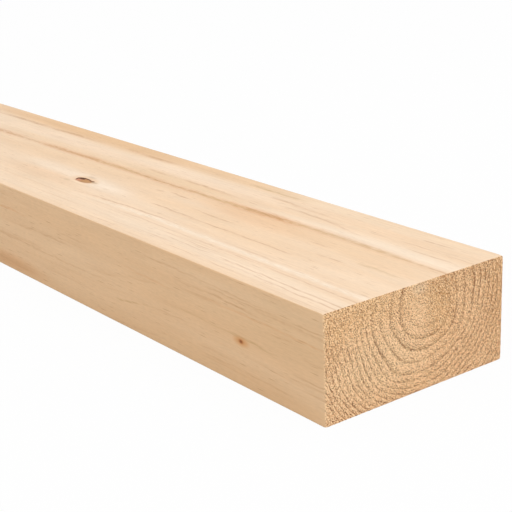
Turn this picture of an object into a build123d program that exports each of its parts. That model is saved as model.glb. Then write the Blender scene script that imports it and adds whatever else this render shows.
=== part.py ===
from build123d import *
import math
import os

# One plank of planed softwood, sawn square at both ends and lying on a wide face.
# X runs along the grain, Y across the width and Z up through the thickness.
# The origin is the middle of the bottom face.

length = 1800.0
width = 95.0
thickness = 45.0
arris_radius = 0.5     # easing that the planer leaves on the four long edges

# An oval dead knot shows on the top face, where a crescent gap has opened beside it.
knot_from_end = 225.0  # knot centre, from the +X end
knot_from_edge = 33.7  # knot centre, from the -Y edge
knot_length = 14.0
knot_width = 5.8
knot_turn = -6.0       # degrees from the grain to the oval's long axis
gap_width = 2.0        # opening of the crescent where it is widest
gap_bearing = 155.0    # degrees from +X to that widest place
gap_depth = 1.5


def planed_stick():
    section = Plane.YZ * Pos(0, thickness / 2) * RectangleRounded(width, thickness, arris_radius)
    return extrude(section, amount=length / 2, both=True)


def knot_gap():
    # The crescent is what the knot's oval leaves when it is shifted away from the wood around it.
    local_bearing = math.radians(gap_bearing - knot_turn)
    shift = Pos(-gap_width * math.cos(local_bearing), -gap_width * math.sin(local_bearing))
    oval = Ellipse(knot_length / 2, knot_width / 2)
    crescent = extrude(oval - shift * oval, amount=-gap_depth)
    knot_place = Pos(length / 2 - knot_from_end, knot_from_edge - width / 2, thickness)
    return knot_place * Rot(0, 0, knot_turn) * crescent


def plank():
    return planed_stick() - knot_gap()


os.makedirs("parts", exist_ok=True)
export_step(plank(), "parts/plank.step")
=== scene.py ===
import math
import bmesh
import bpy
import numpy as np
from mathutils import Matrix, Vector, noise


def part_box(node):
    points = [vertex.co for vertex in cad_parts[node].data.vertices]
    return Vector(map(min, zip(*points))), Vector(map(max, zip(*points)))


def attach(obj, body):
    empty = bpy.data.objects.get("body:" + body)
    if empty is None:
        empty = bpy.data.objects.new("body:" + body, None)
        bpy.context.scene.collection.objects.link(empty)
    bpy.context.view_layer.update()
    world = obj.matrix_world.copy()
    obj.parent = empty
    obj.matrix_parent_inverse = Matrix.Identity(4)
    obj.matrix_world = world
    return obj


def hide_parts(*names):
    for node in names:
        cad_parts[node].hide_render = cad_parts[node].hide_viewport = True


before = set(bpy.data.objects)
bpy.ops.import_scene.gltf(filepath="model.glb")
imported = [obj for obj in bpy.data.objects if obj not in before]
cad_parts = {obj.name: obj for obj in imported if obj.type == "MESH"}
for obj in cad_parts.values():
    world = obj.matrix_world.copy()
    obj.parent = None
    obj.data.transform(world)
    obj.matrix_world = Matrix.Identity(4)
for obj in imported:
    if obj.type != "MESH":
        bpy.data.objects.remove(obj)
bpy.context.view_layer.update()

mm = 0.001
slack = 0.01  # mm by which a point may miss a face and still count as on it
low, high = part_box("plank")
middle = (low + high) / 2
plankSize = high - low
endX = high.x  # the sawn end nearer the knot
wide = plankSize.y / mm
thick = plankSize.z / mm


def linear(hexCode):  # sRGB hex to linear colour
    parts = [int(hexCode[i:i + 2], 16) / 255 for i in (1, 3, 5)]
    return [c / 12.92 if c <= 0.04045 else ((c + 0.055) / 1.055) ** 2.4 for c in parts] + [1.0]


def freshTree(block):  # the emptied node tree of a new material or world
    block.use_nodes = True
    block.node_tree.nodes.clear()
    return block.node_tree


def addNode(tree, kind, inputs=(), stops=(), **settings):  # inputs by name, or in order in a list
    made = tree.nodes.new("ShaderNode" + kind)
    for name, value in settings.items():
        setattr(made, name, value)
    for position, _ in stops[1:-1]:
        made.color_ramp.elements.new(position)
    for number, (position, colour) in enumerate(stops):
        made.color_ramp.elements[number].position = position
        made.color_ramp.elements[number].color = colour
    for key, value in inputs.items() if isinstance(inputs, dict) else enumerate(inputs):
        if isinstance(value, bpy.types.Node):
            value = value.outputs[0]
        if isinstance(value, bpy.types.NodeSocket):
            tree.links.new(value, made.inputs[key])
        else:
            made.inputs[key].default_value = value
    return made


# Places on the plank are in mm: back from the sawn end, across from the near edge, up from the floor.

# where the tree's pith runs inside the plank: back, across, up
pithLine = [
    (0, 51.0, 36.0), (50, 51.8, 36.0), (104, 51.2, 36.0), (130, 49.7, 36.0), (160, 48.7, 36.2),
    (230, 48.2, 36.5), (300, 47.3, 36.8), (360, 45.7, 37.0), (620, 42.5, 35.0), (900, 46.5, 32.0),
    (1250, 55.5, 30.0), (1550, 53.5, 34.0), (1800, 49.5, 37.0),
]
# how many rings lie within a radius in mm: wide young rings, then close ones
ringTable = [(0, 0), (14.5, 3), (28, 6), (33.6, 8), (48, 13.8), (66, 22), (110, 43)]
growth = {
    "taper": 0.004,       # mm of radius lost for each mm along the trunk
    "waver": 2.2,         # mm that a ring may stray from round
    "waverAcross": 17.0,  # mm between strays, round the ring
    "waverAlong": 260.0,  # mm between strays, along the grain
}
# how dark and hard the wood is through one ring, from its spring wood to its autumn wood
hardness = [(0.0, 0.4), (0.06, 0.0), (0.3, 0.08), (0.68, 0.22), (0.83, 0.5), (0.92, 1.0), (1.0, 0.4)]
topKnot = {
    "back": 225.0, "across": 33.7,
    "long": 14.0, "wide": 5.8,
    "turn": -6.0,            # degrees from the grain to its long axis
    "gapWide": 2.0, "gapDeep": 1.5,
    "gapBearing": 155.0,     # degrees from the sawn end to where the gap is widest
    "gapEdge": 0.5,          # mm over which its walls go down
    "gapColour": "#5A2B04",
    "gapDarkBy": 0.15,       # share of its depth from which it has that colour in full
    "push": 0.55,            # how far the grain parts round the knot
    "pushLong": 26.0, "pushWide": 11.0, "pushDeep": 12.0,  # mm over which that dies away
}
edgeKnot = {"back": 50.3, "up": 19.3}

plankShape = {
    "arris": 0.5 * mm,            # planer easing on the long edges
    "endChamfer": 0.2 * mm,       # fibres worn off round the sawn ends
    "cutsAcross": 77,             # of each half of the width
    "cutsUp": 72,
    "cutsShown": 59,              # along the half that the knot is in
    "cutsBehind": 27,
    "rimLoops": (0.6, 1.5, 3.5),  # mm in from each end, so that a worn rim stays local
    "knotCuts": 49,               # in each grid cell beside the knot, along the grain
    "knotReach": (10.0, 4.7),     # mm each way that the finer grid takes in
    "mostCorners": 6,             # that a face may have and get no point in its middle
    "creaseFrom": 35,             # degrees between two faces from which their edge stays sharp
    "leastSunk": 0.004,           # share of a depth under which a point isn't moved
    "tornFibres": 0.12 * mm,      # depth of the saw's torn fibres
    "tornAll": 0.35,              # share of that depth all over the ends
    "tornSoft": 0.3,              # and how much more of it in soft wood
    "tornTuft": 0.75,             # and more or less of it from tuft to tuft
    "tuft": 0.75,                 # mm, size of a torn tuft
    "springWood": 0.04 * mm,      # soft wood sinks this far under the planer
    "planedFrom": 5.0,            # mm from each end to where it does
    "wear": 0.3 * mm,             # at the worst corner of the sawn end
    "wearBack": 0.8,              # what a mm back from the corner counts beside a mm across
    "wearFall": 1.5,              # 1 is an even slope down to the corner, and more is rounder
}
wornCorners = [  # of the sawn end: across, up, reach in mm, share of the wear
    (0.0, 0.0, 1.4, 0.6), (wide, thick, 1.8, 1.0), (wide, 0.0, 1.4, 0.6), (0.0, thick, 1.4, 0.5),
]


def pithAt(back):
    stations = np.array(pithLine)
    place = np.clip(np.searchsorted(stations[:, 0], back) - 1, 0, len(stations) - 2)
    t = (back - stations[place, 0]) / (stations[place + 1, 0] - stations[place, 0])
    t = np.clip(t, 0, 1)
    t = t * t * (3 - 2 * t)
    return [stations[place, i] * (1 - t) + stations[place + 1, i] * t for i in (1, 2)]


def ringCount(points):
    back, across, up = points.T
    near = np.exp(-((back - topKnot["back"]) / topKnot["pushLong"]) ** 2
                  - ((across - topKnot["across"]) / topKnot["pushWide"]) ** 2
                  - ((up - thick) / topKnot["pushDeep"]) ** 2)
    across = across - (across - topKnot["across"]) * topKnot["push"] * near
    pithAcross, pithUp = pithAt(back)
    radius = np.hypot(across - pithAcross, up - pithUp) + growth["taper"] * back
    steps = Vector((1 / growth["waverAlong"], 1 / growth["waverAcross"], 1 / growth["waverAcross"]))
    stray = np.array([noise.noise(steps * Vector(spot)) for spot in zip(back, across - wide / 2, up)])
    radii, counts = np.array(ringTable).T
    return np.interp(radius + stray * growth["waver"], radii, counts)


def gapDepth(points):  # 1 on the floor of the crescent beside the knot, 0 outside it
    knot = topKnot
    turn, bearing = math.radians(knot["turn"]), math.radians(knot["gapBearing"])
    x = knot["back"] - points[:, 0]
    y = points[:, 1] - knot["across"]
    inside = []
    for shift in (0.0, knot["gapWide"]):
        offX, offY = x + shift * math.cos(bearing), y + shift * math.sin(bearing)
        alongOval = (offX * math.cos(turn) + offY * math.sin(turn)) / (knot["long"] / 2)
        acrossOval = (offY * math.cos(turn) - offX * math.sin(turn)) / (knot["wide"] / 2)
        inside.append((1 - np.hypot(alongOval, acrossOval)) * knot["wide"] / 2)
    depth = np.minimum(inside[0], -inside[1]) / knot["gapEdge"]
    return np.clip(depth, 0, 1) * (points[:, 2] > thick - slack)


def pick(ob, domain, test):  # in edit mode, selects only what passes
    bpy.ops.mesh.select_mode(type=domain)
    bpy.ops.mesh.select_all(action="DESELECT")
    cage = bmesh.from_edit_mesh(ob.data)
    parts = {"EDGE": cage.edges, "FACE": cage.faces}[domain]
    for part in parts:
        if test(part):
            part.select_set(True)
    bmesh.update_edit_mesh(ob.data)


def runsAlong(axis, shortest):  # a test for edges along an axis that are longer than that
    def test(edge):
        step = edge.verts[1].co - edge.verts[0].co
        return abs(step[axis]) > 0.999 * step.length and step.length > shortest
    return test


def bisectAt(axis, place):
    point, across = Vector(), Vector()
    point[axis] = place
    across[axis] = 1
    bpy.ops.mesh.select_all(action="SELECT")
    bpy.ops.mesh.bisect(plane_co=point, plane_no=across)


def refineAtKnot(ob):  # a finer grid where the gap beside the knot is sunk
    knotX = endX - topKnot["back"] * mm
    knotY = low.y + topKnot["across"] * mm
    reachX, reachY = (reach * mm for reach in plankShape["knotReach"])
    for axis, cuts in ((0, plankShape["knotCuts"]), (1, 1)):
        runs = runsAlong(axis, 0)

        def isNear(edge):
            spot = (edge.verts[0].co + edge.verts[1].co) / 2
            return (min(edge.verts[0].co.z, edge.verts[1].co.z) > high.z - slack * mm and runs(edge)
                    and abs(spot.x - knotX) < reachX and abs(spot.y - knotY) < reachY)
        pick(ob, "EDGE", isNear)
        bpy.ops.mesh.subdivide(number_cuts=cuts)
    pick(ob, "FACE", lambda face: len(face.verts) > plankShape["mostCorners"])
    bpy.ops.mesh.poke()  # round the finer grid, so that no triangle there comes out flat


def modelPlank():
    arris = plankShape["arris"]
    chamfer = plankShape["endChamfer"]
    bpy.ops.object.select_all(action="DESELECT")
    betweenChamfers = plankSize - Vector((2 * chamfer, 0, 0))
    bpy.ops.mesh.primitive_cube_add(size=1, location=middle, scale=betweenChamfers)
    ob = bpy.context.object
    ob.name = ob.data.name = "planed_plank"
    bpy.ops.object.transform_apply(location=True, rotation=True, scale=True)
    bpy.ops.object.mode_set(mode="EDIT")
    pick(ob, "EDGE", runsAlong(0, 0.5 * plankSize.x))
    bpy.ops.mesh.bevel(offset=arris, segments=3, profile=0.5)
    pick(ob, "FACE", lambda face: abs(face.normal.x) > 0.99)
    bpy.ops.mesh.inset(thickness=chamfer, depth=chamfer)
    for axis in (1, 2):
        bisectAt(axis, low[axis] + arris)
        bisectAt(axis, high[axis] - arris)
    pick(ob, "EDGE", runsAlong(1, 0.5 * plankSize.y))
    bpy.ops.mesh.subdivide(number_cuts=1)
    pick(ob, "EDGE", runsAlong(1, 0.2 * plankSize.y))
    bpy.ops.mesh.subdivide(number_cuts=plankShape["cutsAcross"])
    pick(ob, "EDGE", runsAlong(2, 0.5 * plankSize.z))
    bpy.ops.mesh.subdivide(number_cuts=plankShape["cutsUp"])
    pick(ob, "EDGE", runsAlong(0, 0.5 * plankSize.x))
    bpy.ops.mesh.subdivide(number_cuts=1)
    isLong = runsAlong(0, 0.3 * plankSize.x)
    for side, cuts in ((1, plankShape["cutsShown"]), (-1, plankShape["cutsBehind"])):
        pick(ob, "EDGE", lambda edge: isLong(edge) and (edge.verts[0].co.x + edge.verts[1].co.x) * side > 0)
        bpy.ops.mesh.subdivide(number_cuts=cuts)
    for inward in plankShape["rimLoops"]:
        bisectAt(0, high.x - inward * mm)
        bisectAt(0, low.x + inward * mm)
    refineAtKnot(ob)
    bpy.ops.object.mode_set(mode="OBJECT")
    return ob


plank = modelPlank()
print("plank modelled:", len(plank.data.polygons), "faces")


def isSawn(face):  # a face of either end or of its worn rim
    return abs(face.center.x) > endX - plankShape["endChamfer"]


def layOutForBake(ob):  # the two ends side by side over the four long faces, unrolled
    mesh = ob.data
    uvs = mesh.uv_layers.new(name="OFBake")
    gap = 0.006        # between the parts of the layout
    shownShare = 0.62  # of the layout's width, for the half of the plank that the knot is in
    facing = 0.7       # of a normal, the least that lies along its own face's axis
    endScale = (1 - 3 * gap) / (2 * plankSize.y)
    endTall = plankSize.z * endScale
    wrapTall = 1 - endTall - 6 * gap
    girth = 2 * (plankSize.y + plankSize.z)
    wrapScale = wrapTall / girth
    half = plankSize.x / 2
    for face in mesh.polygons:
        n = face.normal
        for loop in face.loop_indices:
            p = mesh.vertices[mesh.loops[loop].vertex_index].co
            fromLow = p - low
            if isSawn(face):
                leftSide = gap if n.x > 0 else 0.5 + gap / 2
                u = leftSide + fromLow.y * endScale
                v = 1 - gap - endTall + fromLow.z * endScale
            else:
                if p.x > middle.x:
                    along = (1 - shownShare) + shownShare * (p.x - middle.x) / half
                else:
                    along = (1 - shownShare) * (p.x - low.x) / half
                u = gap + (1 - 2 * gap) * along
                if n.z > facing:
                    v = gap + fromLow.y * wrapScale
                elif n.y > facing:
                    v = 2 * gap + (plankSize.y + high.z - p.z) * wrapScale
                elif n.z < -facing:
                    v = 3 * gap + (plankSize.y + plankSize.z + high.y - p.y) * wrapScale
                else:
                    v = 4 * gap + (2 * plankSize.y + plankSize.z + fromLow.z) * wrapScale
            uvs.data[loop].uv = (u, v)


layOutForBake(plank)
for face in plank.data.polygons:
    face.material_index = 1 if isSawn(face) else 0
    face.use_smooth = True


def pointsOf(ob):
    co = np.empty(len(ob.data.vertices) * 3)
    ob.data.vertices.foreach_get("co", co)
    co = co.reshape(-1, 3)
    return np.stack([endX - co[:, 0], co[:, 1] - low.y, co[:, 2] - low.z], 1) / mm


points = pointsOf(plank)
rings = ringCount(points)
knotGap = gapDepth(points)
for name, values in (("rings", rings), ("knotGap", knotGap)):
    plank.data.attributes.new(name, "FLOAT", "POINT").data.foreach_set("value", values)


def sink(ob, name, weights, depth, direction="NORMAL"):
    group = ob.vertex_groups.new(name=name)
    for vertex in np.flatnonzero(weights > plankShape["leastSunk"]):
        group.add([int(vertex)], float(weights[vertex]), "REPLACE")
    press = ob.modifiers.new(name, "DISPLACE")
    press.vertex_group = name
    press.direction = direction
    press.mid_level = 0
    press.strength = -depth
    bpy.ops.object.select_all(action="DESELECT")
    ob.select_set(True)
    bpy.context.view_layer.objects.active = ob
    bpy.ops.object.modifier_apply(modifier=name)
    ob.vertex_groups.remove(ob.vertex_groups[name])


def relieve():
    shape = plankShape
    soft = 1 - np.interp(rings % 1, *np.array(hardness).T)
    back, across, up = points.T
    toEnd = np.minimum(back, plankSize.x / mm - back)
    sawn = toEnd < shape["endChamfer"] / mm + slack
    tufts = np.array([noise.noise(Vector(spot) / shape["tuft"]) for spot in points[sawn]])
    torn = np.zeros(len(points))
    torn[sawn] = shape["tornSoft"] * soft[sawn] + shape["tornAll"] + shape["tornTuft"] * tufts
    sink(plank, "tornFibres", np.clip(torn, 0, 1), shape["tornFibres"])
    spring = np.where(toEnd > shape["planedFrom"], soft, 0) * (knotGap == 0)
    sink(plank, "springWood", spring, shape["springWood"])
    worn = np.zeros(len(points))
    for cornerAcross, cornerUp, reach, share in wornCorners:
        far = np.hypot(across - cornerAcross, up - cornerUp)
        far = np.hypot(far, back * shape["wearBack"])
        worn = np.maximum(worn, share * np.clip(1 - far / reach, 0, 1) ** shape["wearFall"])
    sink(plank, "wornCorners", worn, shape["wear"])
    sink(plank, "knotGap", knotGap, topKnot["gapDeep"] * mm, "Z")


relieve()
print("grain grown:", len(plank.data.vertices), "points,", round(float(rings.max()), 1), "rings")


def placeInMm(tree):  # mm: back, across, up
    coords = addNode(tree, "TexCoord").outputs["Object"]
    scales = (-1 / mm, 1 / mm, 1 / mm)
    corner = (endX / mm, -low.y / mm, -low.z / mm)
    return addNode(tree, "VectorMath", [coords, scales, corner], operation="MULTIPLY_ADD")


def streaksOf(tree, place, long, wide, detail, seed):  # noise drawn out along the grain, 0 to 1
    drawn = addNode(tree, "VectorMath", [place, (1 / long, 1 / wide, 1 / wide)], operation="MULTIPLY")
    return addNode(tree, "TexNoise", {"Vector": drawn, "W": seed, "Scale": 1.0, "Detail": detail},
                   noise_dimensions="4D")


def ringTone(tree, rings):  # the hardness through each ring
    phase = addNode(tree, "Math", [rings], operation="FRACT")
    return addNode(tree, "ValToRGB", [phase], [(at, (value, value, value, 1)) for at, value in hardness])


def ovalAt(tree, place, centre, half, softness, strength):  # strength inside an oval, 0 outside
    scales = [1 / reach if reach else 0 for reach in half]  # no half size, no limit that way
    offsets = [-middleAt * scale for middleAt, scale in zip(centre, scales)]
    scaled = addNode(tree, "VectorMath", [place, scales, offsets], operation="MULTIPLY_ADD")
    spread = addNode(tree, "VectorMath", [scaled], operation="LENGTH").outputs["Value"]
    return addNode(tree, "MapRange", [spread, 1 + softness, 1 - softness, 0.0, strength],
                   interpolation_type="SMOOTHSTEP")


# planed pine: the planer's knives leave it matt with a faint sheen; pale spring wood, tan autumn wood
planedPine = {
    "pale": "#F8DEC1", "tan": "#EFC9A0", "line": "#CF9E6B", "dash": "#B98A5A",
    "edgeTintAndShade": (0.925, 0.825, 0.69),          # edges darker and more amber: partly the autumn wood that edges cut along the rings show, partly painted shade on these side faces
    "edgeCalm": "#F2D4AF", "edgeCalmShare": 0.35,
    "edgeBand": (0.45, 0.1),                   # mm in from an edge, where its look starts and is whole
    "topBand": (0.6, 0.2),                     # the same, down from the top face
    "ior": 1.5,
    "relief": 0.05, "bump": 0.6,               # mm that fibres stand up in the bump, and its strength
    "drawnLength": 450.0,                      # mm from the sawn end with streaks drawn one by one
    "drawnFade": 60.0,                         # mm before and after that over which they fade
    # noise drawn out along the grain: mm long, mm wide, detail, seed
    "ripple": (40.0, 2.0, 2.0, 3.0),           # small bends of the ring lines
    "fading": (55.0, 3.5, 1.0, 7.0),           # stretches over which a ring line shows
    "bands": (260.0, 15.0, 3.0, 1.0),          # broad pale and tan bands
    "clouds": (38.0, 6.5, 2.0, 5.0),           # soft blotches
    "sway": (12.0, 6.0, 1.0, 9.0),             # small bends of a streak
    "breaks": (5.0, 0.6, 1.0, 13.0),           # where a streak is strong or faint
    "fibres": (22.0, 0.75, 2.0, 11.0),         # single bundles of fibres
    "pores": (3.0, 0.45, 0.0, 19.0),           # the finest flecks, drawn coarser than real fibres
    "dashes": (9.0, 0.45, 0.0, 17.0),          # cut resin canals
    # ranges: two levels, then what they turn into
    "rippleRange": (0.3, 0.7, -0.08, 0.08),    # rings
    "fadingRange": (0.38, 0.66, 0.0, 1.0),     # share of a ring line's strength
    "ringRange": (0.0, 1.0, 0.3, 0.9),         # each ring's own share of it
    "youngRange": (5.0, 8.0, 0.2, 1.0),        # rings from the pith, and their share of it
    "quietRange": (0.0, 1.0, 0.9, 0.45),       # share of it past the drawn streaks, and among them
    "bandRange": (0.35, 0.7, 0.0, 0.75),       # share of tan
    "cloudRange": (0.25, 0.75, 0.955, 1.045),  # brightness
    "swayRange": (0.3, 0.7, -0.5, 0.5),        # mm to each side
    "breakRange": (0.3, 0.6, 0.2, 0.95),       # share of a streak's strength
    "fibreRange": (0.6, 1.4, 0.95, 1.05),      # brightness, by the fibres and pores together
    "dashRange": (0.70, 0.82, 0.0, 0.55),      # share of the dash colour
    "roughRange": (0.3, 0.7, 0.66, 0.54),      # roughness, by the fibres
}
streakTints = {"brown": "#C08A56", "amber": "#DE9F62", "olive": "#CDA873", "white": "#FFEDD8"}
# streaks on the top face: tint, half width in mm, then stations of mm back, mm across and strength
topStreaks = [
    ("amber", 5.0, [(0, 62.7, .1), (50, 63.8, .25), (85, 63.6, .4), (100, 62.8, .85), (128, 61.6, .75),
                    (150, 60.8, .4), (215, 60.4, .45), (255, 60.0, .65), (305, 59.2, .6), (325, 58.6, .25),
                    (350, 58.0, .5), (450, 56.0, .3)]),
    ("brown", 2.4, [(40, 63.4, 0), (47, 63.6, .4), (52, 63.8, .1), (92, 63.4, .15), (100, 62.6, .8),
                    (122, 62.2, .75), (134, 61.4, .1), (250, 60.0, .15), (262, 59.8, .75), (285, 59.4, .65),
                    (306, 59.0, .4), (315, 59.0, .1), (335, 58.4, .3), (350, 58.0, .55), (368, 57.6, .5),
                    (390, 57.0, .1), (450, 56.0, .3)]),
    ("brown", 1.15, [(0, 62.6, .5), (24, 62.8, .35), (34, 63.0, .1), (150, 60.8, .1), (160, 60.5, .7),
                     (186, 60.7, .75), (196, 60.4, .95), (208, 60.3, .8), (220, 60.6, .5), (232, 60.3, .2),
                     (300, 59.3, .1)]),
    ("olive", 2.2, [(0, 62.7, 0), (22, 62.8, .4), (50, 63.8, .6), (92, 63.6, .55), (104, 62.8, .2),
                    (132, 61.2, .7), (158, 60.6, .65), (168, 60.6, .2), (214, 60.5, .3), (226, 60.3, .75),
                    (252, 60.0, .5), (262, 59.8, .1), (312, 58.8, .1), (326, 58.6, .5), (345, 58.2, .1)]),
    ("brown", 0.9, [(55, 24.2, 0), (64, 24.6, .3), (90, 25.0, .2), (102, 25.0, 0), (132, 25.0, .1),
                    (146, 25.0, .65), (165, 24.3, .5), (182, 23.4, .7), (198, 22.6, .45), (214, 21.0, 0)]),
    ("white", 3.0, [(0, 21.4, .8), (60, 22.0, .75), (100, 22.3, .7), (150, 22.6, .8), (180, 20.5, .5),
                    (215, 18.5, 0)]),
    ("brown", 0.9, [(0, 17.0, .5), (48, 17.4, .35), (58, 17.6, .1), (75, 17.8, .4), (104, 18.0, .3),
                    (112, 18.0, .1), (130, 18.0, .4), (158, 17.8, .35), (172, 17.5, 0)]),
    ("brown", 0.6, [(78, 14.4, 0), (86, 14.4, .4), (120, 15.0, .4), (128, 15.2, 0)]),
    ("brown", 0.7, [(0, 9.2, .45), (12, 9.5, .45), (40, 10.2, .5), (74, 11.1, .5), (80, 11.2, 0),
                    (90, 11.3, .4), (112, 11.6, .4), (120, 11.8, 0)]),
    ("brown", 0.8, [(0, 6.1, .5), (40, 7.3, .4), (66, 8.0, .2), (104, 8.4, 0), (118, 8.4, .35),
                    (130, 8.4, 0)]),
    ("brown", 0.5, [(57, 5.0, 0), (64, 5.0, .5), (76, 5.1, .4), (82, 5.1, 0), (90, 5.1, .4),
                    (106, 5.1, .45), (112, 5.1, 0)]),
    ("brown", 0.6, [(0, 2.4, .35), (30, 3.0, .25), (52, 3.6, 0), (140, 4.5, 0), (150, 4.3, .35),
                    (164, 4.1, .35), (170, 4.0, 0)]),
    ("brown", 0.9, [(57, 34.5, 0), (65, 34.6, .5), (90, 34.8, .55), (97, 35.0, .2), (106, 35.0, .5),
                    (117, 35.1, .55), (123, 35.2, .2), (132, 35.3, .3), (150, 35.5, .55), (162, 35.3, .6),
                    (167, 35.2, 0)]),
    ("brown", 0.9, [(36, 42.4, 0), (41, 42.6, .5), (49, 43.0, .4), (56, 43.0, 0), (108, 43.0, 0),
                    (117, 43.2, .5), (131, 43.4, .5), (147, 43.9, 0)]),
    ("olive", 1.5, [(5, 46.4, 0), (12, 46.6, .4), (27, 47.2, .65), (38, 47.5, 0)]),
    ("brown", 0.9, [(154, 52.0, 0), (160, 51.9, .6), (170, 52.3, .6), (176, 52.4, 0)]),
    ("brown", 1.0, [(57, 51.2, 0), (62, 51.0, .6), (67, 51.0, 0)]),
    ("brown", 1.6, [(176, 50.8, 0), (180, 50.6, .6), (184, 50.4, 0)]),
    ("brown", 1.3, [(52, 70.6, 0), (62, 71.8, .15), (70, 73.0, .3), (77, 74.6, .35), (85, 75.4, .5),
                    (100, 75.8, .5), (108, 75.7, .3), (116, 75.6, .2), (123, 75.6, 0)]),
    ("brown", 1.6, [(84, 81.0, 0), (95, 81.0, .25), (112, 81.2, .3), (118, 81.5, .5), (128, 81.6, .5),
                    (134, 82.0, 0)]),
    ("brown", 1.0, [(0, 78.5, .3), (12, 78.6, .25), (17, 78.6, .1), (24, 78.7, .35), (38, 79.0, .35),
                    (43, 79.0, 0), (49, 77.8, 0), (54, 77.8, .3), (59, 77.6, 0)]),
    ("brown", 0.8, [(4, 73.0, 0), (10, 73.2, .4), (28, 73.5, .4), (34, 73.8, 0)]),
    ("brown", 0.8, [(18, 86.2, 0), (24, 86.3, .6), (34, 86.6, .5), (39, 86.6, 0)]),
    ("olive", 1.7, [(114, 88.0, 0), (126, 88.5, .7), (145, 88.5, .9), (155, 88.3, .5), (164, 88.0, 0)]),
    ("brown", 1.7, [(138, 69.8, 0), (152, 70.0, .3), (166, 70.2, .55), (182, 70.4, .55), (191, 70.6, 0)]),
    ("brown", 1.7, [(199, 69.4, 0), (207, 69.5, .4), (215, 69.4, .4), (221, 69.2, 0)]),
    ("brown", 2.4, [(214, 85.3, 0), (223, 85.0, .4), (232, 84.8, .65), (242, 84.6, .5), (248, 85.0, .2),
                    (256, 85.3, .4), (262, 85.8, .4), (270, 86.0, 0)]),
    ("brown", 2.2, [(284, 84.0, 0), (305, 83.2, .4), (320, 82.8, .75), (340, 82.3, .5), (348, 82.2, .2),
                    (360, 82.0, .6), (386, 82.0, .65), (402, 82.0, .4), (450, 81.0, .2)]),
]
nearStreaks = [  # the same on the narrow near face, with mm up for mm across
    ("brown", 0.7, [(28, 37.0, 0), (42, 37.4, .4), (66, 37.8, .5), (84, 38.5, .3), (94, 38.6, .6),
                    (112, 38.7, .6), (120, 39.0, 0)]),
    ("brown", 0.6, [(0, 36.5, .6), (14, 36.4, .5), (20, 36.2, .1), (40, 36.3, .5), (66, 36.3, .5),
                    (76, 36.3, 0)]),
    ("brown", 1.0, [(0, 34.6, .4), (30, 35.3, .4), (60, 36.0, 0)]),
    ("brown", 0.8, [(30, 32.8, 0), (40, 33.2, .3), (50, 33.6, .8), (60, 33.9, .75), (72, 34.2, .4),
                    (90, 34.0, .3), (100, 34.0, 0)]),
    ("amber", 0.9, [(0, 30.6, .7), (22, 31.0, .5), (48, 31.4, .5), (72, 31.0, .2), (80, 31.0, 0)]),
    ("brown", 0.7, [(14, 28.2, 0), (20, 28.2, .5), (30, 28.0, .4), (36, 28.0, 0)]),
    ("brown", 0.6, [(0, 23.8, .5), (8, 24.0, .3), (14, 24.0, 0)]),
    ("olive", 0.8, [(24, 20.0, 0), (34, 20.4, .5), (42, 20.9, .9), (54, 21.2, .9), (66, 21.3, .3),
                    (84, 21.4, .5), (100, 20.9, .2), (130, 20.0, 0)]),
    ("brown", 0.6, [(0, 15.7, .7), (14, 15.9, .6), (20, 16.2, 0), (84, 16.6, 0), (92, 16.7, .4),
                    (108, 16.2, .4), (114, 16.0, 0)]),
    ("brown", 0.9, [(0, 13.9, .35), (16, 14.1, .4), (26, 14.0, 0)]),
    ("brown", 0.6, [(0, 10.8, .6), (10, 10.9, .4), (16, 11.0, 0)]),
    ("brown", 0.7, [(16, 6.2, 0), (26, 6.5, .4), (44, 6.9, .4), (52, 6.8, .2), (66, 6.5, .4),
                    (80, 6.4, 0)]),
    ("brown", 0.7, [(48, 9.4, 0), (62, 9.4, .3), (76, 9.2, .35), (82, 9.0, 0)]),
    ("amber", 0.9, [(92, 28.8, 0), (104, 28.5, .3), (114, 28.6, .5), (124, 29.0, .4), (134, 29.8, .2),
                    (142, 30.0, 0)]),
    ("olive", 0.7, [(108, 15.6, 0), (120, 15.2, .3), (132, 13.2, .9), (140, 12.4, .9), (146, 12.0, 0)]),
    ("brown", 0.7, [(164, 31.5, 0), (176, 31.8, .4), (190, 31.8, .3), (198, 32, 0)]),
    ("brown", 0.8, [(178, 27.6, 0), (190, 27.6, .4), (208, 27.5, .6), (214, 27.3, .2), (224, 27.0, .4),
                    (232, 26.8, .3), (240, 26.6, 0)]),
    ("brown", 0.9, [(140, 18.6, 0), (155, 18.4, .3), (190, 17.8, .4), (220, 18.0, .4), (236, 18.2, .5),
                    (260, 18.0, .4), (300, 18.0, 0)]),
    ("amber", 0.9, [(222, 33.0, 0), (232, 33.0, .4), (244, 33.2, .8), (262, 33.0, .7), (290, 32.6, 0)]),
    ("brown", 2.2, [(218, 3.6, 0), (228, 3.8, .35), (244, 4.4, .45), (262, 4.6, .55), (300, 4.6, .5),
                    (360, 4.0, 0)]),
]
patchSoftness = 0.65  # share of a patch's half size, in and out, over which it fades
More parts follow.
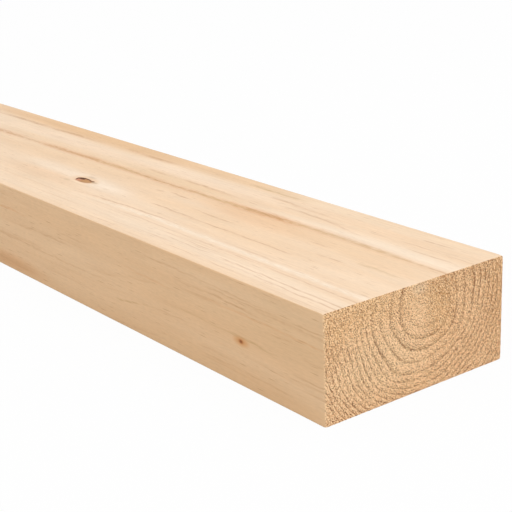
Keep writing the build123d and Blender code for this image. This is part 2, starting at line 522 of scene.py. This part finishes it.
# soft patches, two of them painted shade: face, back, across or up, half sizes, colour, strength
patchesAndPaintedShade = [
    ("top", 212, 38, 26, 8, "#FDEAD4", .7), ("top", 258, 38, 26, 6, "#FBE6CE", .5),
    ("top", 262, 50, 70, 8, "#F0CDA6", .6), ("top", 108, 54, 36, 8, "#EEC398", .7),
    ("top", 180, 44, 50, 6, "#F1CCA4", .5), ("top", 100, 40, 66, 8, "#F1CCA3", .5),
    ("top", 300, 90, 120, 7, "#E9BD8B", .8), ("top", 168, 92, 50, 6, "#EDC69A", .7),
    ("top", 190, 66, 48, 5, "#EECBA0", .55), ("top", 300, 64, 80, 5, "#EDC79B", .5),
    ("top", 40, 68, 60, 4, "#FBE7CF", .6), ("top", 185, 78, 50, 6, "#FAE0C4", .6),
    ("top", 300, 74, 60, 6, "#F9DDC0", .6), ("top", 40, 55, 50, 7, "#F0CBA2", .65),
    ("top", 70, 91, 70, 4, "#F4D8B5", .4), ("top", 252, 26, 34, 5, "#EFCAA4", .6),
    ("near", 60, 25.5, 60, 4, "#F2D3B0", .6), ("near", 250, 4.5, 34, 3.5, "#E0A76E", .6),
    # both below are painted shade: a band along the bottom of the near face, and its upper part by the sawn
    # end
    ("near", 90, 3.0, 110, 6, "#E6C194", .35), ("near", 12, 32, 34, 12, "#E4C49C", .45),
]


def traceStreaks(tree, back, height, streaks, breaks):  # strength of each tint at a point, by tint
    unit = planedPine["drawnLength"]
    share = addNode(tree, "Math", [back, unit], operation="DIVIDE")
    height = addNode(tree, "Math", [height, unit], operation="DIVIDE")
    amounts = {}
    for tint, halfWidth, stations in streaks:  # in each ramp, grey is the place and alpha the strength
        stops = [(far / unit, [place / unit] * 3 + [strength]) for far, place, strength in stations]
        path = addNode(tree, "ValToRGB", [share], stops)
        off = addNode(tree, "Math", [height, path], operation="SUBTRACT")
        off = addNode(tree, "Math", [off], operation="ABSOLUTE")
        body = addNode(tree, "MapRange", [off, halfWidth / unit, 0.0], interpolation_type="SMOOTHSTEP")
        amount = addNode(tree, "Math", [body, path.outputs["Alpha"]], operation="MULTIPLY")
        if tint in amounts:
            amount = addNode(tree, "Math", [amount, amounts[tint]], operation="MAXIMUM")
        amounts[tint] = amount
    for tint, amount in amounts.items():
        amounts[tint] = addNode(tree, "Math", [amount, breaks], operation="MULTIPLY")
    return amounts


# the knot's look: mm from its centre back and across, half sizes, softness, colour, strength
knotLayers = [
    (0.0, 0.9, 10.0, 4.4, 0.4, "#F2CBA3", .8), (1.0, 5.6, 3.6, 1.0, 0.6, "#D8BDA0", .6),
    (-7.6, 1.0, 3.6, 1.0, 0.6, "#CDB190", .7), (8.0, -5.4, 2.4, 1.0, 0.6, "#DABB95", .6),
    (-1.5, -4.0, 6.0, 0.8, 0.6, "#FFE2C0", .8),
    (-0.7, -0.1, 6.5, 2.8, 0.15, "#BC8450", 1.0), (-2.6, -0.4, 3.6, 1.1, 0.5, "#C8945B", .8),
    (3.2, -1.4, 2.3, 1.3, 0.3, "#CB8A6A", .95), (-5.9, 1.6, 1.5, 0.9, 0.4, "#845830", .95),
    (3.6, 0.9, 3.0, 0.95, 0.3, "#653204", 1.0),
]
pinLayers = [  # of the pin knot on the near face: half sizes, softness, colour, strength
    (4.2, 1.7, 0.6, "#E2A562", .7), (1.5, 0.9, 0.5, "#C07A38", .95), (0.7, 0.5, 0.4, "#8A4E1C", .8),
]


def paintKnots(tree, colour, place, onTop, onNear):
    for shiftBack, shiftAcross, halfLong, halfWide, softness, hexCode, strength in knotLayers:
        centre = (topKnot["back"] + shiftBack, topKnot["across"] + shiftAcross, 0)
        spot = ovalAt(tree, place, centre, (halfLong, halfWide, 0), softness, strength)
        spot = addNode(tree, "Math", [spot, onTop], operation="MULTIPLY")
        colour = addNode(tree, "MixRGB", [spot, colour, linear(hexCode)])
    gap = addNode(tree, "Attribute", attribute_name="knotGap").outputs["Fac"]
    gap = addNode(tree, "MapRange", [gap, 0.0, topKnot["gapDarkBy"]])
    colour = addNode(tree, "MixRGB", [gap, colour, linear(topKnot["gapColour"])])
    pinAt = (edgeKnot["back"], 0, edgeKnot["up"])
    for halfLong, halfTall, softness, hexCode, strength in pinLayers:
        spot = ovalAt(tree, place, pinAt, (halfLong, 0, halfTall), softness, strength)
        spot = addNode(tree, "Math", [spot, onNear], operation="MULTIPLY")
        colour = addNode(tree, "MixRGB", [spot, colour, linear(hexCode)])
    return colour


def finishPlanedPine():
    look = planedPine
    made = bpy.data.materials.new("planed_pine")
    tree = freshTree(made)
    place = placeInMm(tree)
    back, across, up = addNode(tree, "SeparateXYZ", [place]).outputs
    onNear = addNode(tree, "MapRange", [across, *look["edgeBand"]])
    onFar = addNode(tree, "MapRange", [across, *(wide - inset for inset in look["edgeBand"])])
    onEdge = addNode(tree, "Math", [onNear, onFar], operation="ADD")
    onTop = addNode(tree, "MapRange", [up, *(thick - inset for inset in look["topBand"])])
    fade = look["drawnFade"]
    drawn = addNode(tree, "MapRange", [back, look["drawnLength"] + fade, look["drawnLength"] - fade])

    rings = addNode(tree, "Attribute", attribute_name="rings").outputs["Fac"]
    ripple = streaksOf(tree, place, *look["ripple"])
    ripple = addNode(tree, "MapRange", [ripple, *look["rippleRange"]])
    rings = addNode(tree, "Math", [rings, ripple], operation="ADD")
    ringNumber = addNode(tree, "Math", [rings], operation="FLOOR")
    ownStrength = addNode(tree, "TexWhiteNoise", {"W": ringNumber}, noise_dimensions="1D")
    ownStrength = addNode(tree, "MapRange", [ownStrength, *look["ringRange"]])
    grownUp = addNode(tree, "MapRange", [rings, *look["youngRange"]])
    fading = streaksOf(tree, place, *look["fading"])
    fading = addNode(tree, "MapRange", [fading, *look["fadingRange"]])
    quiet = addNode(tree, "MapRange", [drawn, *look["quietRange"]])
    lineAmount = ringTone(tree, rings)
    for factor in (ownStrength, grownUp, fading, quiet):
        lineAmount = addNode(tree, "Math", [lineAmount, factor], operation="MULTIPLY")

    bands = streaksOf(tree, place, *look["bands"])
    bands = addNode(tree, "MapRange", [bands, *look["bandRange"]])
    colour = addNode(tree, "MixRGB", [bands, linear(look["pale"]), linear(look["tan"])])
    # tone patches, and painted shade low on the near face and by its sawn end
    for face, first, second, halfLong, halfWide, hexCode, strength in patchesAndPaintedShade:
        mask = onTop if face == "top" else onNear
        centre = (first, second, 0) if face == "top" else (first, 0, second)
        half = (halfLong, halfWide, 0) if face == "top" else (halfLong, 0, halfWide)
        patch = ovalAt(tree, place, centre, half, patchSoftness, strength)
        patch = addNode(tree, "Math", [patch, mask], operation="MULTIPLY")
        colour = addNode(tree, "MixRGB", [patch, colour, linear(hexCode)])
    clouds = streaksOf(tree, place, *look["clouds"])
    shade = addNode(tree, "MapRange", [clouds, *look["cloudRange"]], clamp=False)
    colour = addNode(tree, "VectorMath", {0: colour, 3: shade}, operation="SCALE")
    colour = addNode(tree, "MixRGB", [lineAmount, colour, linear(look["line"])])

    sway = streaksOf(tree, place, *look["sway"])
    sway = addNode(tree, "MapRange", [sway, *look["swayRange"]])
    breaks = streaksOf(tree, place, *look["breaks"])
    breaks = addNode(tree, "MapRange", [breaks, *look["breakRange"]])
    for mask, height, streaks in ((onTop, across, topStreaks), (onNear, up, nearStreaks)):
        swayed = addNode(tree, "Math", [height, sway], operation="ADD")
        for tint, amount in traceStreaks(tree, back, swayed, streaks, breaks).items():
            amount = addNode(tree, "Math", [amount, mask], operation="MULTIPLY")
            amount = addNode(tree, "Math", [amount, drawn], operation="MULTIPLY")
            colour = addNode(tree, "MixRGB", [amount, colour, linear(streakTints[tint])])

    calm = addNode(tree, "Math", [onEdge, look["edgeCalmShare"]], operation="MULTIPLY")
    colour = addNode(tree, "MixRGB", [calm, colour, linear(look["edgeCalm"])])
    fibres = streaksOf(tree, place, *look["fibres"])
    pores = streaksOf(tree, place, *look["pores"])
    both = addNode(tree, "Math", [fibres, pores], operation="ADD")
    shade = addNode(tree, "MapRange", [both, *look["fibreRange"]], clamp=False)
    colour = addNode(tree, "VectorMath", {0: colour, 3: shade}, operation="SCALE")
    dashes = streaksOf(tree, place, *look["dashes"])
    dashes = addNode(tree, "MapRange", [dashes, *look["dashRange"]])
    colour = addNode(tree, "MixRGB", [dashes, colour, linear(look["dash"])])
    colour = paintKnots(tree, colour, place, onTop, onNear)
    # the edge faces turn darker and more amber: partly their autumn wood, partly painted shade
    tintedAndShaded = addNode(tree, "VectorMath", [colour, look["edgeTintAndShade"]], operation="MULTIPLY")
    colour = addNode(tree, "MixRGB", [onEdge, colour, tintedAndShaded])

    roughness = addNode(tree, "MapRange", [fibres, *look["roughRange"]])
    height = addNode(tree, "Math", [fibres, look["relief"]], operation="MULTIPLY")
    bump = addNode(tree, "Bump", {"Height": height, "Distance": 1.0 * mm, "Strength": look["bump"]})
    shader = addNode(tree, "BsdfPrincipled", {"Base Color": colour, "Roughness": roughness,
                                              "IOR": look["ior"], "Normal": bump})
    addNode(tree, "OutputMaterial", {"Surface": shader})
    return made


# sawn end grain: the saw tears the fibre ends into a matt, speckled face with hard autumn rings
sawnPine = {
    # the last colour on this line is a painted highlight, where light catches the sawn end's near edge
    "spring": "#F1C090", "autumn": "#A56A34", "pit": "#582904", "tip": "#FFDFB0", "edgeHighlight": "#F3D0A4",
    "roughness": 0.85, "ior": 1.5,
    "relief": 0.6, "bump": 0.8,              # mm that tufts stand up in the bump, and its strength
    "endBand": (10.0, 5.0),                  # mm back, where its own patches start and are whole
    "ripple": 0.7,                           # mm, small bends of the rings
    "clearing": 12.0,                        # mm, spots where the rings show less
    "grit": 0.46, "fineGrit": 0.3,           # mm, tufts of torn fibre
    "arcWide": 0.4, "arcLong": 1.4,          # mm, tufts torn along the rings
    "arcRadius": 32.0,                       # mm from the pith at which they are that long
    "arcShare": 0.55,                        # of their weight beside the other tufts
    "ringShare": 0.84,                       # of the autumn colour that a ring's line takes
    "ringPits": 0.07,                        # how much more the saw tears those lines
    # ranges: two levels, then what they turn into, or 0 and 1
    "rippleRange": (0.3, 0.7, -0.07, 0.07),  # rings
    "clearingRange": (0.35, 0.6, 0.6, 1.0),  # share of a ring's strength
    "ringRange": (0.0, 0.7, 0.75, 1.0),      # each ring's own share of it
    "pitRange": (0.47, 0.37), "tipRange": (0.505, 0.59),
    "edgeHighlightRange": (1.1, 0.2, 0.0, 0.5),        # mm from the near edge, and share of the painted highlight along that lit edge
}
# patches on the sawn end: across, up, half sizes, colour, strength
endPatches = [
    (60, 40, 9, 6, "#B57734", .6), (60, 30, 7, 9, "#C68C48", .5), (48, 43, 3.5, 2.5, "#DCC2A4", .6),
    (92, 26, 7, 22, "#C48340", .42), (84, 42, 14, 6, "#B97C40", .42), (4, 30, 6, 9, "#CD935A", .4),
    (10, 42, 20, 9, "#D29C60", .5), (34, 41, 16, 7, "#D7A56C", .35), (28, 18, 20, 12, "#F5D2A4", .5),
    (45, 4, 15, 4, "#E5B273", .15), (75, 22, 19, 18, "#DDA671", .4),
]
faintSoftness = 0.5  # as patchSoftness, for the ovals below
# where the rings are faint there: across, up, half sizes, how much is lost
endFaint = [
    (8, 44, 24, 12, .8), (51, 8, 12, 14, .25), (51, 37, 10.5, 10.5, .85), (62, 34, 7, 10, .4),
    (24, 10, 18, 12, .15),
]


def finishSawnPine():
    look = sawnPine
    made = bpy.data.materials.new("sawn_end_grain")
    tree = freshTree(made)
    place = placeInMm(tree)
    back, across, _ = addNode(tree, "SeparateXYZ", [place]).outputs
    shownEnd = addNode(tree, "MapRange", [back, *look["endBand"]])
    _, pithAcross, pithUp = pithLine[0]
    fromPith = addNode(tree, "VectorMath", [place, (0, 1, 1), (0, -pithAcross, -pithUp)],
                       operation="MULTIPLY_ADD")
    radius = addNode(tree, "VectorMath", [fromPith], operation="LENGTH").outputs["Value"]
    sides = addNode(tree, "SeparateXYZ", [fromPith]).outputs
    angle = addNode(tree, "Math", [sides[1], sides[2]], operation="ARCTAN2")

    rings = addNode(tree, "Attribute", attribute_name="rings").outputs["Fac"]
    ripple = addNode(tree, "TexNoise", {"Vector": place, "Scale": 1 / look["ripple"], "Detail": 1.0})
    ripple = addNode(tree, "MapRange", [ripple, *look["rippleRange"]])
    rings = addNode(tree, "Math", [rings, ripple], operation="ADD")
    clearing = addNode(tree, "TexNoise", {"Vector": place, "Scale": 1 / look["clearing"], "Detail": 2.0})
    clearing = addNode(tree, "MapRange", [clearing, *look["clearingRange"]])
    ringNumber = addNode(tree, "Math", [rings], operation="FLOOR")
    ownStrength = addNode(tree, "TexWhiteNoise", {"W": ringNumber}, noise_dimensions="1D")
    ownStrength = addNode(tree, "MapRange", [ownStrength, *look["ringRange"]])
    ringAmount = addNode(tree, "Math", [ringTone(tree, rings), clearing], operation="MULTIPLY")
    ringAmount = addNode(tree, "Math", [ringAmount, ownStrength], operation="MULTIPLY")
    for acrossAt, upAt, halfAcross, halfUp, lost in endFaint:
        faint = ovalAt(tree, place, (0, acrossAt, upAt), (0, halfAcross, halfUp), faintSoftness, lost)
        faint = addNode(tree, "Math", [faint, shownEnd], operation="MULTIPLY")
        faint = addNode(tree, "Math", [1.0, faint], operation="SUBTRACT")
        ringAmount = addNode(tree, "Math", [ringAmount, faint], operation="MULTIPLY")

    colour = linear(look["spring"])
    for acrossAt, upAt, halfAcross, halfUp, hexCode, strength in endPatches:
        half = (0, halfAcross, halfUp)
        patch = ovalAt(tree, place, (0, acrossAt, upAt), half, patchSoftness, strength)
        patch = addNode(tree, "Math", [patch, shownEnd], operation="MULTIPLY")
        colour = addNode(tree, "MixRGB", [patch, colour, linear(hexCode)])
    lineShare = addNode(tree, "Math", [ringAmount, look["ringShare"]], operation="MULTIPLY")
    colour = addNode(tree, "MixRGB", [lineShare, colour, linear(look["autumn"])])
    grit = addNode(tree, "TexNoise", {"Vector": place, "Scale": 1 / look["grit"], "Detail": 0.0})
    fine = addNode(tree, "TexNoise", {"Vector": place, "Scale": 1 / look["fineGrit"], "Detail": 0.0})
    outward = addNode(tree, "Math", [radius, 1 / look["arcWide"]], operation="MULTIPLY")
    around = addNode(tree, "Math", [angle, look["arcRadius"] / look["arcLong"]], operation="MULTIPLY")
    arcs = addNode(tree, "TexNoise", {"Vector": addNode(tree, "CombineXYZ", [outward, around, back]),
                                      "Scale": 1.0, "Detail": 1.0})
    speckle = addNode(tree, "Math", [grit, fine], operation="ADD")
    speckle = addNode(tree, "Math", [arcs, look["arcShare"], speckle], operation="MULTIPLY_ADD")
    speckle = addNode(tree, "Math", [speckle, 2 + look["arcShare"]], operation="DIVIDE")
    lean = addNode(tree, "Math", [ringAmount, -look["ringPits"], speckle], operation="MULTIPLY_ADD")
    pits = addNode(tree, "MapRange", [lean, *look["pitRange"]])
    tips = addNode(tree, "MapRange", [lean, *look["tipRange"]])
    colour = addNode(tree, "MixRGB", [pits, colour, linear(look["pit"])])
    colour = addNode(tree, "MixRGB", [tips, colour, linear(look["tip"])])
    # painted highlight along the sawn end's near edge, where the light catches it
    edgeHighlight = addNode(tree, "MapRange", [across, *look["edgeHighlightRange"]])
    colour = addNode(tree, "MixRGB", [edgeHighlight, colour, linear(look["edgeHighlight"])])
    relief = look["relief"] * mm
    bump = addNode(tree, "Bump", {"Height": speckle, "Distance": relief, "Strength": look["bump"]})
    shader = addNode(tree, "BsdfPrincipled", {"Base Color": colour, "Roughness": look["roughness"],
                                              "IOR": look["ior"], "Normal": bump})
    addNode(tree, "OutputMaterial", {"Surface": shader})
    return made


plank.data.materials.append(finishPlanedPine())
plank.data.materials.append(finishSawnPine())
bpy.ops.object.select_all(action="DESELECT")
plank.select_set(True)
bpy.context.view_layer.objects.active = plank
bpy.ops.object.shade_smooth_by_angle(angle=math.radians(plankShape["creaseFrom"]))
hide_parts("plank")
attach(plank, "root")
print("plank finished")

stageLook = {
    "floor": 12.0, "floorColour": "#E9E9E9",
    "whiteShare": 0.96,            # of plain white in the floor that the camera sees
    "skyStrength": 0.68,
    "lampsAimAt": (0.6, 0.0, 0.0),
    # name, place, size in m, watts
    "lamps": [("overhead", (0.9, 0.2, 2.4), 2.5, 17.0), ("endSide", (3.0, -0.2, 1.5), 1.6, 21.0)],
}


def layFloor():
    bpy.ops.object.select_all(action="DESELECT")
    bpy.ops.mesh.primitive_plane_add(size=stageLook["floor"], location=(0, 0, low.z))
    floor = bpy.context.object
    floor.name = "floor"
    made = bpy.data.materials.new("pale_floor")
    tree = freshTree(made)
    seen = addNode(tree, "LightPath").outputs["Is Camera Ray"]
    share = addNode(tree, "Math", [seen, stageLook["whiteShare"]], operation="MULTIPLY")
    matt = addNode(tree, "BsdfDiffuse", {"Color": linear(stageLook["floorColour"])})
    white = addNode(tree, "Emission", {"Color": (1, 1, 1, 1), "Strength": 1.0})
    both = addNode(tree, "MixShader", [share, matt, white])
    addNode(tree, "OutputMaterial", {"Surface": both})
    floor.data.materials.append(made)


def lightStage():
    sky = bpy.data.worlds.new("soft_sky")
    bpy.context.scene.world = sky
    tree = freshTree(sky)
    seen = addNode(tree, "LightPath").outputs["Is Camera Ray"]
    strength = addNode(tree, "MapRange", [seen, 0.0, 1.0, stageLook["skyStrength"], 1.0])
    background = addNode(tree, "Background", {"Color": (1, 1, 1, 1), "Strength": strength})
    addNode(tree, "OutputWorld", {"Surface": background})
    for name, place, size, watts in stageLook["lamps"]:
        bpy.ops.object.light_add(type="AREA", location=place)
        lamp = bpy.context.object
        lamp.name = name
        lamp.data.size = size
        lamp.data.energy = watts
        aim = Vector(stageLook["lampsAimAt"]) - Vector(place)
        lamp.rotation_mode = "QUATERNION"
        lamp.rotation_quaternion = aim.to_track_quat("-Z", "Y")


layFloor()
lightStage()
print("stage lit")

shot = {
    "fromEnd": 320.4, "fromNearEdge": -271.1, "up": 209.1,  # mm from the sawn end's near bottom corner
    "turn": 37.085, "tilt": 18.6, "roll": -2.249,           # degrees: from -X to +Y, down, clockwise
    "lens": 88.6,
}


def placeCamera():
    turn, tilt, roll = (math.radians(shot[key]) for key in ("turn", "tilt", "roll"))
    forward = Vector((-math.cos(turn) * math.cos(tilt), math.sin(turn) * math.cos(tilt), -math.sin(tilt)))
    right = Vector((math.sin(turn), math.cos(turn), 0))
    upward = right.cross(forward)
    levelRight = right
    right = levelRight * math.cos(roll) + upward * math.sin(roll)
    upward = upward * math.cos(roll) - levelRight * math.sin(roll)
    data = bpy.data.cameras.new("shot")
    data.lens = shot["lens"]
    camera = bpy.data.objects.new("shot", data)
    bpy.context.collection.objects.link(camera)
    turned = Matrix((right, upward, -forward)).transposed()
    camera.rotation_mode = "QUATERNION"
    camera.rotation_quaternion = turned.to_quaternion()
    fromCorner = Vector((shot["fromEnd"], shot["fromNearEdge"], shot["up"])) * mm
    camera.location = Vector((high.x, low.y, low.z)) + fromCorner
    bpy.context.scene.camera = camera


placeCamera()
bpy.context.scene.view_settings.view_transform = "Standard"
